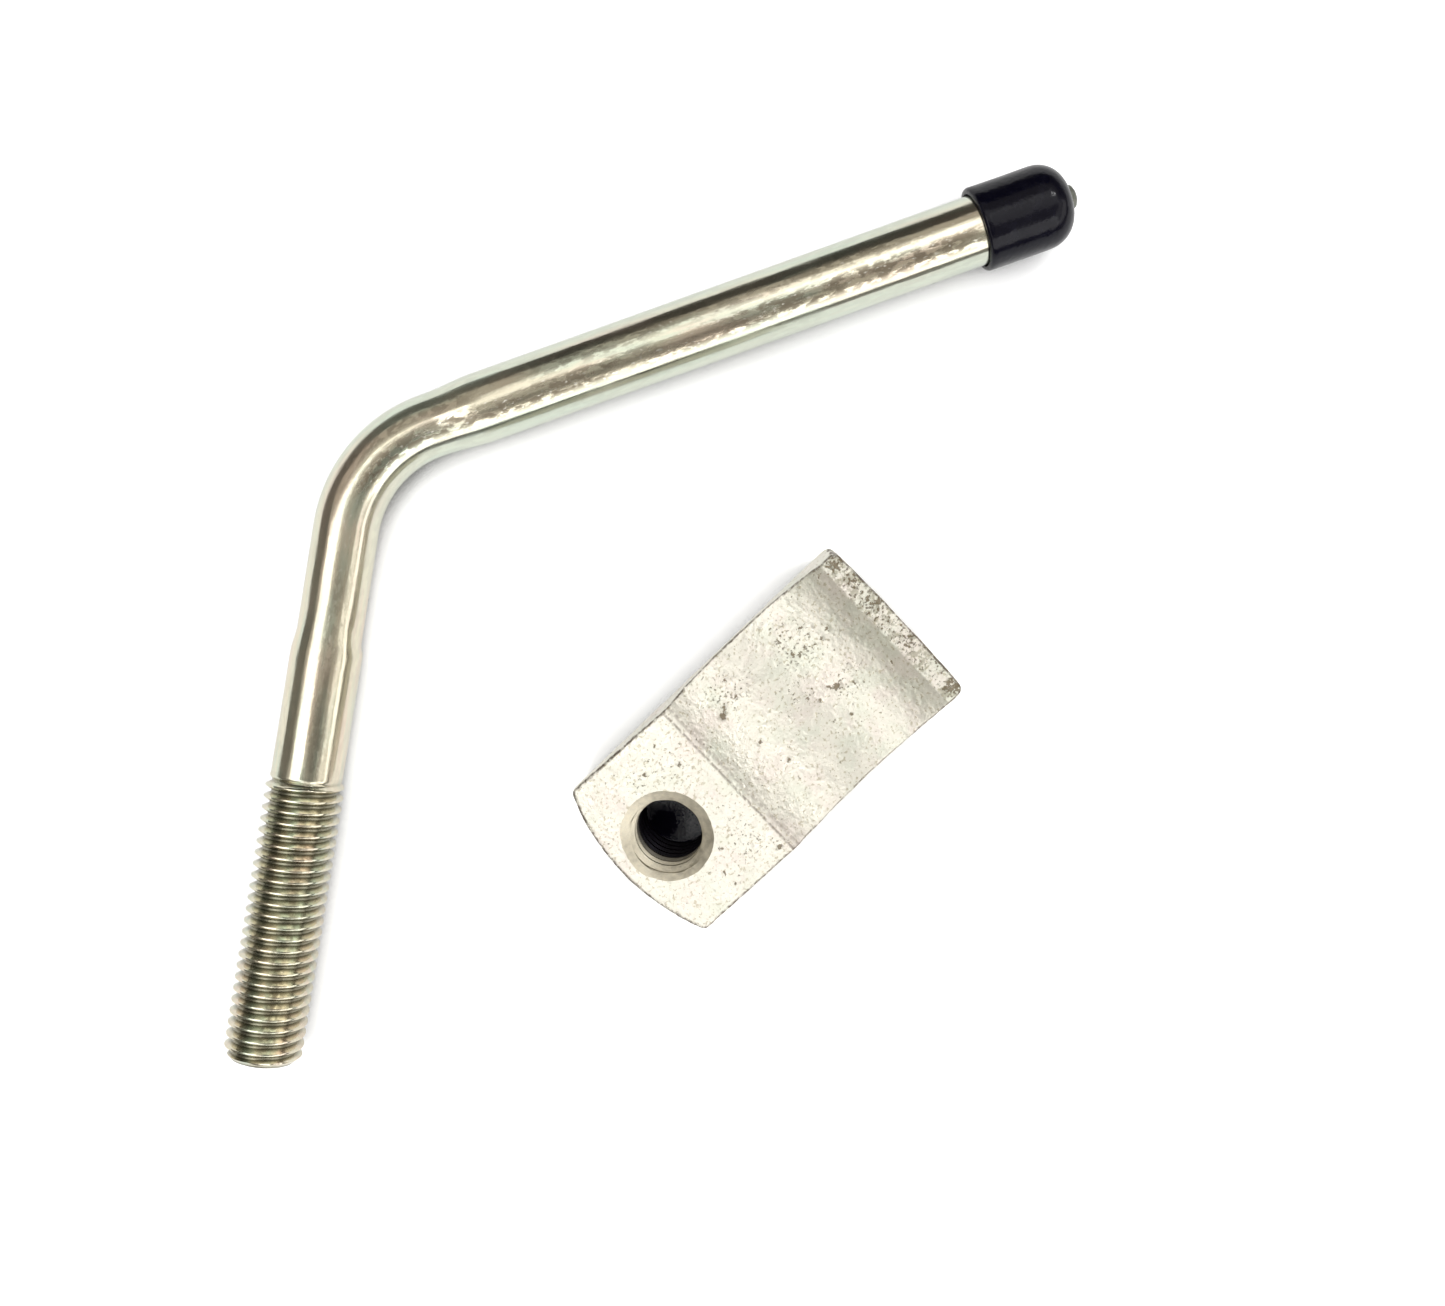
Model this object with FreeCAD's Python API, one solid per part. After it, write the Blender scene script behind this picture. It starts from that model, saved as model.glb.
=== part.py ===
import FreeCAD, Part
import math
import os

from FreeCAD import Placement, Rotation, Vector

# Clamp handle and clamp pad of a caravan jockey wheel clamp, lying on a table.
# Units are millimetres. The origin is on the table below the middle of the
# pad's tube saddle. +X runs along the pad towards its lip, +Z is up.

# Handle: a bent round rod with a metric screw thread on its short leg
rod_diameter = 10.7
neck_diameter = 9.8            # drawn thinner through the bend
leg_length = 94.0              # tip of the thread to the corner of the axis
arm_length = 113.3             # corner of the axis to the rod's end face
bend_angle = 60.7              # how far the arm turns away from the leg
bend_radius = 20.0             # of the rod's centre line
thread_diameter = 11.8         # over the crests of M12
thread_length = 43.0
thread_chamfer = 1.1
thread_runout = 0.8            # cone from the last crest down to the shank
collar_length = 63.6           # tip to the shoulder where the rod thins
shoulder_length = 1.2
arm_swell_length = 8.0         # the arm grows back to full size after the bend
rod_end_chamfer = 0.6
nub_diameter = 4.0             # turned tip that pokes out through the cap
nub_length = 2.7
nub_round = 0.7

# End cap: a soft dipped cap, pushed over the arm's end
cap_wall = 1.05
cap_end_wall = 1.35
cap_depth = 13.3               # how far the rod's end face is inside the mouth
cap_dome_radius = 4.4
cap_mouth_bevel = 0.35
cap_bore_clearance = 0.05
cap_seat_clearance = 0.1
nub_hole_clearance = 0.1

# Clamp pad: a cast wedge with a saddle for the wheel's tube
tube_diameter = 48.0
saddle_floor = 12.0            # thickness below the saddle's lowest line
crest_distance = 13.7          # saddle's middle to the crest's near edge
crest_flat = 0.85
land_slope = 13.0              # the land falls away from the crest
lip_distance = 16.6            # saddle's middle to the lip's near edge
pad_front = 20.6               # saddle's middle to the lip's end, at the seam
pad_back = 36.4                # saddle's middle to the rounded end, at the seam
pad_width = 29.4               # at the seam, where the casting is widest
back_bulge = 3.1               # height of the rounded end's arc
front_bulge = 0.3
plan_corner_round = 1.3
seam_height = 11.0             # where the two halves of the mould met
draft_angle = 5.2
edge_round = 0.4
hole_distance = 27.4           # saddle's middle to the hole, on the land
hole_minor_diameter = 10.4     # inside the crests of an M12 nut thread
countersink_diameter = 14.2
countersink_angle = 120.0

# Where the handle lies beside the pad
handle_corner_x = -21.3
handle_corner_y = 74.0
leg_heading = 36.9             # degrees from +X, from the tip to the corner

# Sizes that follow from the ones above
rod_radius = rod_diameter / 2
neck_radius = neck_diameter / 2
thread_radius = thread_diameter / 2
bend_turn = math.radians(bend_angle)
bend_tangent = bend_radius * math.tan(bend_turn / 2)
cap_bore_radius = rod_radius + cap_bore_clearance
cap_radius = cap_bore_radius + cap_wall
cap_mouth = arm_length - cap_depth
cap_end = arm_length + cap_seat_clearance + cap_end_wall
nub_radius = nub_diameter / 2
nub_hole_radius = nub_radius + nub_hole_clearance
tube_radius = tube_diameter / 2
tube_axis_height = saddle_floor + tube_radius
hole_minor_radius = hole_minor_diameter / 2
countersink_radius = countersink_diameter / 2
slope = math.radians(land_slope)


def saddle_height(x):
    """Height of the saddle's surface at a distance x from its middle."""
    return tube_axis_height - math.sqrt(tube_radius ** 2 - x ** 2)


def land_height(x):
    """Height of the inclined land at x, which is negative there."""
    run = -x - crest_distance - crest_flat
    return saddle_height(crest_distance) - run * math.tan(slope)


def closed_wire(edges):
    return Part.Wire(Part.__sortEdges__(edges))


def line(a, b):
    return Part.LineSegment(a, b).toShape()


def arc(a, through, b):
    return Part.Arc(a, through, b).toShape()


def turned(points):
    """Solid of revolution about local X from half a section of straight lines."""
    corners = [Vector(x, r, 0) for x, r in points]
    face = Part.Face(Part.makePolygon(corners + corners[:1]))
    return face.revolve(Vector(0, 0, 0), Vector(1, 0, 0), 360)


def leg():
    """Threaded leg, from its tip at local X = 0 to the start of the bend."""
    return turned([
        (0, 0),
        (0, thread_radius - thread_chamfer),
        (thread_chamfer, thread_radius),
        (thread_length, thread_radius),
        (thread_length + thread_runout, rod_radius),
        (collar_length, rod_radius),
        (collar_length + shoulder_length, neck_radius),
        (leg_length - bend_tangent, neck_radius),
        (leg_length - bend_tangent, 0),
    ])


def bend():
    """Elbow between the leg and the arm, turning to the right."""
    start = Vector(leg_length - bend_tangent, 0, 0)
    centre = start - Vector(0, bend_radius, 0)
    section = Part.Face(Part.Wire(Part.makeCircle(neck_radius, start, Vector(1, 0, 0))))
    return section.revolve(centre, Vector(0, 0, -1), bend_angle)


def arm_frame():
    """Placement whose local X runs out along the arm from the axis corner."""
    return Placement(Vector(leg_length, 0, 0), Rotation(Vector(0, 0, 1), -bend_angle))


def arm():
    """Arm with its nub, from the end of the bend to the nub's tip."""
    nub_end = arm_length + nub_length
    solid = turned([
        (bend_tangent, 0),
        (bend_tangent, neck_radius),
        (bend_tangent + arm_swell_length, rod_radius),
        (arm_length - rod_end_chamfer, rod_radius),
        (arm_length, rod_radius - rod_end_chamfer),
        (arm_length, nub_radius),
        (nub_end - nub_round, nub_radius),
        (nub_end, nub_radius - nub_round),
        (nub_end, 0),
    ])
    solid.Placement = arm_frame()
    return solid


def cap():
    """Push-on cap with a domed end and a hole that the nub pokes through."""
    dome_start = cap_end - cap_dome_radius
    dome_middle = cap_dome_radius * (1 - math.cos(math.pi / 4))
    bore_end = arm_length + cap_seat_clearance
    bevel_end = cap_mouth + cap_mouth_bevel
    mouth_radius = cap_radius - cap_mouth_bevel
    edges = [
        line(Vector(cap_mouth, cap_bore_radius, 0), Vector(cap_mouth, mouth_radius, 0)),
        line(Vector(cap_mouth, mouth_radius, 0), Vector(bevel_end, cap_radius, 0)),
        line(Vector(bevel_end, cap_radius, 0), Vector(dome_start, cap_radius, 0)),
        arc(Vector(dome_start, cap_radius, 0),
            Vector(cap_end - dome_middle, cap_radius - dome_middle, 0),
            Vector(cap_end, cap_radius - cap_dome_radius, 0)),
        line(Vector(cap_end, cap_radius - cap_dome_radius, 0), Vector(cap_end, nub_hole_radius, 0)),
        line(Vector(cap_end, nub_hole_radius, 0), Vector(bore_end, nub_hole_radius, 0)),
        line(Vector(bore_end, nub_hole_radius, 0), Vector(bore_end, cap_bore_radius, 0)),
        line(Vector(bore_end, cap_bore_radius, 0), Vector(cap_mouth, cap_bore_radius, 0)),
    ]
    section = Part.Face(closed_wire(edges))
    solid = section.revolve(Vector(0, 0, 0), Vector(1, 0, 0), 360)
    solid.Placement = arm_frame()
    return solid


def resting_frame():
    """Placement of the handle on the table.

    It lies on three places: the last crest of the thread, the start of the
    arm's full thickness and the rim of the cap's mouth.
    """
    out = arm_frame()
    thread_contact = Vector(thread_length, 0, -thread_radius)
    arm_contact = out.multVec(Vector(bend_tangent + arm_swell_length, 0, 0))
    cap_contact = out.multVec(Vector(cap_mouth + cap_mouth_bevel, 0, 0))
    arm_contact.z = -rod_radius
    cap_contact.z = -cap_radius
    up = (cap_contact - thread_contact).cross(arm_contact - thread_contact)
    if up.z < 0:
        up = up * -1
    level = Rotation(up, Vector(0, 0, 1))
    heading = Rotation(Vector(0, 0, 1), leg_heading)
    turn = heading.multiply(level)
    corner = turn.multVec(Vector(leg_length, 0, 0))
    lowest = turn.multVec(thread_contact)
    return Placement(Vector(handle_corner_x - corner.x, handle_corner_y - corner.y, -lowest.z), turn)


def handle_rod():
    rod = leg().fuse([bend(), arm()]).removeSplitter()
    rod.Placement = resting_frame()
    return rod


def end_cap():
    shell = cap()
    shell.Placement = resting_frame().multiply(shell.Placement)
    return shell


def corner_arc(reach, bulge, half):
    """Start, middle and end of the arc that joins a long side to a bulged end."""
    end_radius = (half ** 2 + bulge ** 2) / (2 * bulge)
    across = half - plan_corner_round
    along = math.sqrt((end_radius - plan_corner_round) ** 2 - across ** 2)
    middle = Vector(reach - end_radius + along, across, 0)
    end_angle = math.atan2(across, along)
    angles = (math.pi / 2, (math.pi / 2 + end_angle) / 2, end_angle)
    return [middle + Vector(math.cos(a), math.sin(a), 0) * plan_corner_round for a in angles]


def pad_outline(height):
    """Outline of the casting at a height, drawn in by the mould's draft."""
    inset = abs(height - seam_height) * math.tan(math.radians(draft_angle))
    half = pad_width / 2 - inset
    front = pad_front - inset
    back = pad_back - inset
    front_left = corner_arc(front, front_bulge, half)
    front_right = [Vector(p.x, -p.y, 0) for p in front_left]
    back_left = [Vector(-p.x, p.y, 0) for p in corner_arc(back, back_bulge, half)]
    back_right = [Vector(p.x, -p.y, 0) for p in back_left]
    outline = closed_wire([
        line(back_right[0], front_right[0]),
        arc(*front_right),
        arc(front_right[2], Vector(front, 0, 0), front_left[2]),
        arc(*front_left),
        line(front_left[0], back_left[0]),
        arc(*back_left),
        arc(back_left[2], Vector(-back, 0, 0), back_right[2]),
        arc(*back_right),
    ])
    outline.translate(Vector(0, 0, height))
    return outline


def drafted_block():
    """Casting before its top is shaped: widest at the seam, narrower both ways."""
    top = saddle_height(lip_distance) + 1
    return Part.makeLoft([pad_outline(h) for h in (0, seam_height, top)], True, True)


def side_profile():
    """Prism of the casting's side view: land, crest, saddle and lip, on a flat base."""
    lip_height = saddle_height(lip_distance)
    crest_height = saddle_height(crest_distance)
    reach = pad_back + 1
    front = pad_front + 1
    y = -pad_width
    edges = [
        line(Vector(-reach, y, 0), Vector(-reach, y, land_height(-reach))),
        line(Vector(-reach, y, land_height(-reach)), Vector(-crest_distance - crest_flat, y, crest_height)),
        line(Vector(-crest_distance - crest_flat, y, crest_height), Vector(-crest_distance, y, crest_height)),
        arc(Vector(-crest_distance, y, crest_height), Vector(0, y, saddle_floor),
            Vector(lip_distance, y, lip_height)),
        line(Vector(lip_distance, y, lip_height), Vector(front, y, lip_height)),
        line(Vector(front, y, lip_height), Vector(front, y, 0)),
        line(Vector(front, y, 0), Vector(-reach, y, 0)),
    ]
    return Part.Face(closed_wire(edges)).extrude(Vector(0, 2 * pad_width, 0))


def screw_hole():
    """Tapped hole, square to the land, with its countersink."""
    mouth = Vector(-hole_distance, 0, land_height(-hole_distance))
    sink_depth = (countersink_radius - hole_minor_radius) / math.tan(math.radians(countersink_angle / 2))
    overshoot = 1.0
    flare = overshoot * math.tan(math.radians(countersink_angle / 2))
    depth = mouth.z / math.cos(slope) + hole_minor_radius
    bore = Part.makeCylinder(hole_minor_radius, depth)
    sink = Part.makeCone(hole_minor_radius, countersink_radius + flare, sink_depth + overshoot)
    bore.translate(Vector(0, 0, -depth))
    sink.translate(Vector(0, 0, -sink_depth))
    tool = bore.fuse(sink)
    tool.Placement = Placement(mouth, Rotation(Vector(0, 1, 0), -land_slope))
    return tool


def is_worn(edge):
    """Edges of the casting's top. The saddle's long sides, under the tube, stay sharp."""
    box = edge.BoundBox
    is_upright = box.ZLength > box.DiagonalLength / 2
    is_beside_saddle = box.XMin < 0 < box.XMax
    return box.ZMin > seam_height + edge_round / 2 and not is_upright and not is_beside_saddle


def clamp_pad():
    """Casting with its worn edges rounded and the screw hole cut last, so it stays sharp."""
    casting = drafted_block().common(side_profile())
    worn = [e for e in casting.Edges if is_worn(e)]
    return casting.makeFillet(edge_round, worn).cut(screw_hole())


def write_parts():
    os.makedirs("parts", exist_ok=True)
    parts = {
        "handle_rod": handle_rod(),
        "end_cap": end_cap(),
        "clamp_pad": clamp_pad(),
    }
    for name, shape in parts.items():
        print(name, "solids", len(shape.Solids), "volume", round(shape.Volume, 1))
        shape.exportStep(f"parts/{name}.step")


write_parts()
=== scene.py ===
import math

import bmesh
import bpy
from mathutils import Matrix, Vector, noise


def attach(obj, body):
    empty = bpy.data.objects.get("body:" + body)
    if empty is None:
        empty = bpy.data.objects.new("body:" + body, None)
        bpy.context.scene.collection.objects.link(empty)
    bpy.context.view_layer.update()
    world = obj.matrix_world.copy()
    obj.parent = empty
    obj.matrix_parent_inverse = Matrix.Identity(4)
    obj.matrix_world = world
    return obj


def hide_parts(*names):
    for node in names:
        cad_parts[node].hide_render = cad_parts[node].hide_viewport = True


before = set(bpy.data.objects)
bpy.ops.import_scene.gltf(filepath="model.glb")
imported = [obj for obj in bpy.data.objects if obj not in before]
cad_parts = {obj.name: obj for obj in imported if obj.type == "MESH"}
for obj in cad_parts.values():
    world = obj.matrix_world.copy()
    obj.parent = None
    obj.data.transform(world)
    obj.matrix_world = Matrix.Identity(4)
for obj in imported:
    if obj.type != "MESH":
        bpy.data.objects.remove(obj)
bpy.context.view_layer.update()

# Lengths in the dictionaries are millimetres. Pieces are made in them, then placed in metres.
metre = 0.001


def smoothStep(low, high, value):
    t = min(max((value - low) / (high - low), 0.0), 1.0)
    return t * t * (3 - 2 * t)


def blendOf(a, b, share):
    return a + (b - a) * share


def finishPiece(name, bm, material, body, node, sharpAngle=38):
    mesh = bpy.data.meshes.new(name)
    bm.to_mesh(mesh)
    bm.free()
    mesh.shade_smooth()
    mesh.set_sharp_from_angle(angle=math.radians(sharpAngle))
    mesh.materials.append(material)
    piece = bpy.data.objects.new(name, mesh)
    bpy.context.scene.collection.objects.link(piece)
    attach(piece, body)
    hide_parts(node)
    print(name, len(mesh.polygons), "faces")
    return piece


# Camera: nearly straight above the table. Its picture is turned about Z from the frame.
cameraPlace = {
    "at": (-2.29, 29.03, 229.04),
    "right": (0.723367, -0.688853, 0.047129),
    "down": (-0.690463, -0.721622, 0.050225),
    "lens": 36.125,
    "sensor": 36,
    "pictureTurn": -43.6,
}


def placeCamera(c):
    right = Vector(c["right"]).normalized()
    back = right.cross(-Vector(c["down"])).normalized()
    up = back.cross(right)
    camera = bpy.data.objects.new("camera", bpy.data.cameras.new("camera"))
    camera.data.lens = c["lens"]
    camera.data.sensor_width = c["sensor"]
    camera.data.clip_start = 0.01
    turn = Matrix((right, up, back)).transposed().to_4x4()
    camera.matrix_world = Matrix.Translation(Vector(c["at"]) * metre) @ turn
    bpy.context.scene.collection.objects.link(camera)
    bpy.context.scene.camera = camera


placeCamera(cameraPlace)
print("camera placed")


# Node helpers
def newGroup(name, inputs, outputs):
    group = bpy.data.node_groups.new(name, "ShaderNodeTree")
    for label, kind, value in inputs:
        made = group.interface.new_socket(label, in_out="INPUT", socket_type=kind)
        if value is not None:
            made.default_value = value
    for label, kind in outputs:
        group.interface.new_socket(label, in_out="OUTPUT", socket_type=kind)
    return group, group.nodes.new("NodeGroupInput"), group.nodes.new("NodeGroupOutput")


def addNode(tree, kind, settings=None, values=None):
    node = tree.nodes.new(kind)
    for key, value in (settings or {}).items():
        setattr(node, key, value)
    for key, value in (values or {}).items():
        node.inputs[key].default_value = value
    return node


def join(tree, source, target):
    tree.links.new(source, target)


# Cloudy mask: noise on a stretched copy of the given place, cut to a range
def cloudGroup():
    group, given, out = newGroup(
        "cloudyMask",
        [("Place", "NodeSocketVector", None), ("Stretch", "NodeSocketVector", (1, 1, 1)),
         ("Scale", "NodeSocketFloat", 1.0), ("Detail", "NodeSocketFloat", 4.0),
         ("Low", "NodeSocketFloat", 0.4), ("High", "NodeSocketFloat", 0.6)],
        [("Mask", "NodeSocketFloat")])
    stretch = addNode(group, "ShaderNodeVectorMath", {"operation": "MULTIPLY"})
    cloud = addNode(group, "ShaderNodeTexNoise")
    cut = addNode(group, "ShaderNodeMapRange", {"interpolation_type": "SMOOTHSTEP"})
    join(group, given.outputs["Place"], stretch.inputs[0])
    join(group, given.outputs["Stretch"], stretch.inputs[1])
    join(group, stretch.outputs[0], cloud.inputs["Vector"])
    join(group, given.outputs["Scale"], cloud.inputs["Scale"])
    join(group, given.outputs["Detail"], cloud.inputs["Detail"])
    join(group, cloud.outputs["Fac"], cut.inputs["Value"])
    join(group, given.outputs["Low"], cut.inputs["From Min"])
    join(group, given.outputs["High"], cut.inputs["From Max"])
    join(group, cut.outputs["Result"], out.inputs["Mask"])
    return group


# Passivated zinc: a base tint that drifts to pink and to green in cloudy patches
def passivateGroup(cloudy):
    group, given, out = newGroup(
        "passivateTint",
        [("Place", "NodeSocketVector", None), ("Stretch", "NodeSocketVector", (1, 1, 1)),
         ("Scale", "NodeSocketFloat", 1.0), ("Base", "NodeSocketColor", (0.8, 0.78, 0.7, 1)),
         ("Pink", "NodeSocketColor", (0.8, 0.7, 0.65, 1)),
         ("Green", "NodeSocketColor", (0.7, 0.75, 0.65, 1)),
         ("Strength", "NodeSocketFloat", 0.8)],
        [("Color", "NodeSocketColor")])
    tint = given.outputs["Base"]
    # the second tint's clouds are read far from the first's, so the two don't follow each other
    for tone, offset, low, high in (("Pink", 0.0, 0.46, 0.66), ("Green", 37.0, 0.44, 0.68)):
        moved = addNode(group, "ShaderNodeVectorMath", {"operation": "ADD"})
        moved.inputs[1].default_value = (offset, offset, offset)
        patch = addNode(group, "ShaderNodeGroup", {"node_tree": cloudy},
                        {"Detail": 5.0, "Low": low, "High": high})
        amount = addNode(group, "ShaderNodeMath", {"operation": "MULTIPLY"})
        blend = addNode(group, "ShaderNodeMix", {"data_type": "RGBA"})
        join(group, given.outputs["Place"], moved.inputs[0])
        join(group, moved.outputs[0], patch.inputs["Place"])
        join(group, given.outputs["Stretch"], patch.inputs["Stretch"])
        join(group, given.outputs["Scale"], patch.inputs["Scale"])
        join(group, patch.outputs["Mask"], amount.inputs[0])
        join(group, given.outputs["Strength"], amount.inputs[1])
        join(group, amount.outputs[0], blend.inputs["Factor"])
        join(group, tint, blend.inputs["A"])
        join(group, given.outputs[tone], blend.inputs["B"])
        tint = blend.outputs["Result"]
    join(group, tint, out.inputs["Color"])
    return group


cloudyMask = cloudGroup()
passivateTint = passivateGroup(cloudyMask)


def newMaterial(name):
    material = bpy.data.materials.new(name)
    material.use_nodes = True
    tree = material.node_tree
    return material, tree, tree.nodes["Principled BSDF"]


# A cloud in a look is its stretch, scale, detail, and the noise where it begins and where it is full
def cloud(tree, place, stretch, scale, detail, low, high):
    node = addNode(tree, "ShaderNodeGroup", {"node_tree": cloudyMask},
                   {"Stretch": stretch, "Scale": scale, "Detail": detail, "Low": low, "High": high})
    join(tree, place, node.inputs["Place"])
    return node.outputs["Mask"]


def tinted(tree, place, look):
    node = addNode(tree, "ShaderNodeGroup", {"node_tree": passivateTint},
                   {"Stretch": look["stretch"], "Scale": look["tintScale"],
                    "Strength": look["tintStrength"], "Base": (*look["base"], 1),
                    "Pink": (*look["pink"], 1), "Green": (*look["green"], 1)})
    join(tree, place, node.inputs["Place"])
    return node.outputs["Color"]


def toned(tree, colour, mask, towards, share=1.0):
    amount = addNode(tree, "ShaderNodeMath", {"operation": "MULTIPLY"}, {1: share})
    blend = addNode(tree, "ShaderNodeMix", {"data_type": "RGBA"}, {"B": (*towards, 1)})
    join(tree, mask, amount.inputs[0])
    join(tree, amount.outputs[0], blend.inputs["Factor"])
    join(tree, colour, blend.inputs["A"])
    return blend.outputs["Result"]


def weighted(tree, parts):
    total = None
    for source, weight in parts:
        part = addNode(tree, "ShaderNodeMath", {"operation": "MULTIPLY_ADD"}, {1: weight, 2: 0.0})
        join(tree, source, part.inputs[0])
        if total is not None:
            join(tree, total, part.inputs[2])
        total = part.outputs[0]
    return total


def multiplied(tree, one, other):
    product = addNode(tree, "ShaderNodeMath", {"operation": "MULTIPLY"})
    join(tree, one, product.inputs[0])
    join(tree, other, product.inputs[1])
    return product.outputs[0]


def bumped(tree, shader, height, distance, strength):
    bump = addNode(tree, "ShaderNodeBump", {}, {"Strength": strength, "Distance": distance})
    join(tree, height, bump.inputs["Height"])
    join(tree, bump.outputs["Normal"], shader.inputs["Normal"])


def attribute(tree, name):
    return addNode(tree, "ShaderNodeAttribute", {"attribute_name": name})


# The attribute read here holds four masks, as red, green, blue and alpha; some are the thing's own marks, the
# others painted shade and painted sheen
def marksAndLightMasks(tree):
    marksAndPaintedLight = attribute(tree, "marksAndPaintedLight")
    split = addNode(tree, "ShaderNodeSeparateColor")
    join(tree, marksAndPaintedLight.outputs["Color"], split.inputs["Color"])
    return split.outputs["Red"], split.outputs["Green"], split.outputs["Blue"], marksAndPaintedLight.outputs["Alpha"]


def roughened(tree, shader, parts, least):
    floor = addNode(tree, "ShaderNodeMath", {"operation": "ADD"}, {1: least})
    join(tree, weighted(tree, parts), floor.inputs[0])
    join(tree, floor.outputs[0], shader.inputs["Roughness"])


def objectPlace(tree):
    place = addNode(tree, "ShaderNodeTexCoord")
    inMillimetres = addNode(tree, "ShaderNodeVectorMath", {"operation": "SCALE"}, {"Scale": 1 / metre})
    join(tree, place.outputs["Object"], inMillimetres.inputs[0])
    return inMillimetres.outputs[0]


# Bright zinc plate on the rod. Its pattern follows the rod round the bend.
zincSteelLook = {
    "base": (0.71, 0.665, 0.525), "pink": (0.73, 0.61, 0.50), "green": (0.56, 0.64, 0.53),
    "stretch": (0.16, 1.0, 1.0), "tintScale": 0.35, "tintStrength": 0.75,
    # side is a painted sheen: a green tint on the rod's sides
    "side": (0.60, 0.66, 0.57), "sideShare": 0.8,
    "stain": (0.17, 0.14, 0.10), "stainShare": 0.85, "leastStain": 0.1,
    "glint": (0.95, 0.93, 0.84), "glintShare": 0.9,
    # groove is painted shade in the thread's roots
    "grooveShade": (0.17, 0.16, 0.11), "grooveShadeShare": 0.85,
    "dull": (0.20, 0.21, 0.19), "dullShare": 0.9,
    "rough": 0.11, "hazeRough": 0.10, "stainRough": 0.2, "grooveRough": 0.12, "dullRough": 0.4,
    "speckles": ((0.45, 1, 1), 1.25, 9, 0.41, 0.56), "patches": ((0.3, 1, 1), 0.22, 5, 0.30, 0.52),
    "glints": ((0.5, 1, 1), 2.1, 6, 0.60, 0.72), "haze": ((0.3, 1, 1), 0.5, 5, 0.3, 0.8),
    "drawn": ((0.10, 1, 1), 1.6, 4, 0.2, 0.8), "peel": ((0.6, 1, 1), 1.3, 5, 0.25, 0.75),
    "drawnHeight": 0.35, "peelHeight": 0.35, "stainHeight": -0.25,
    "bumpDistance": 0.0001, "bumpStrength": 0.22,
}


def zincSteelMaterial(look):
    material, tree, shader = newMaterial("zincSteel")
    place = attribute(tree, "alongRod").outputs["Vector"]
    grooveShade, dull, sideSheen, stained = marksAndLightMasks(tree)
    # handling stains and brighter rubbed specks, thick along one side of the rod and thin elsewhere
    spread = addNode(tree, "ShaderNodeMapRange", {}, {"To Min": look["leastStain"], "To Max": 1.0})
    join(tree, stained, spread.inputs["Value"])
    spread = spread.outputs["Result"]
    speckled = multiplied(tree, cloud(tree, place, *look["speckles"]), cloud(tree, place, *look["patches"]))
    stain = multiplied(tree, speckled, spread)
    glint = multiplied(tree, cloud(tree, place, *look["glints"]), stained)
    colour = tinted(tree, place, look)
    # side paints a green sheen on the rod's sides and groove paints shade in the thread's roots; stains, rubbed
    # specks and the dull nub are the rod's own
    for name, mask in (("side", sideSheen), ("stain", stain), ("glint", glint), ("grooveShade", grooveShade), ("dull", dull)):
        colour = toned(tree, colour, mask, look[name], look[name + "Share"])
    join(tree, colour, shader.inputs["Base Color"])
    haze = cloud(tree, place, *look["haze"])
    roughened(tree, shader, [(haze, look["hazeRough"]), (stain, look["stainRough"]),
                             (grooveShade, look["grooveRough"]), (dull, look["dullRough"])], look["rough"])
    shader.inputs["Metallic"].default_value = 1.0
    peel = multiplied(tree, cloud(tree, place, *look["peel"]), spread)
    height = weighted(tree, [(cloud(tree, place, *look["drawn"]), look["drawnHeight"]),
                             (peel, look["peelHeight"]), (stain, look["stainHeight"])])
    bumped(tree, shader, height, look["bumpDistance"], look["bumpStrength"])
    return material


# Black dipped vinyl of the end cap
blackVinylLook = {
    "base": (0.0020, 0.0018, 0.0075), "dust": (0.009, 0.009, 0.018), "dustShare": 0.5,
    "rough": 0.12, "smearRough": 0.1, "specular": 0.2,
    "dusty": ((1, 1, 1), 0.6, 6, 0.45, 0.75), "smear": ((1, 1, 1), 0.25, 4, 0.3, 0.7),
    "dimples": ((1, 1, 1), 0.8, 3, 0.2, 0.8), "bumpDistance": 0.00005, "bumpStrength": 0.5,
}


def blackVinylMaterial(look):
    material, tree, shader = newMaterial("blackVinyl")
    place = objectPlace(tree)
    base = addNode(tree, "ShaderNodeRGB")
    base.outputs[0].default_value = (*look["base"], 1)
    dusty = cloud(tree, place, *look["dusty"])
    colour = toned(tree, base.outputs[0], dusty, look["dust"], look["dustShare"])
    join(tree, colour, shader.inputs["Base Color"])
    roughened(tree, shader, [(cloud(tree, place, *look["smear"]), look["smearRough"])], look["rough"])
    shader.inputs["Specular IOR Level"].default_value = look["specular"]
    bumped(tree, shader, cloud(tree, place, *look["dimples"]), look["bumpDistance"], look["bumpStrength"])
    return material


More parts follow.
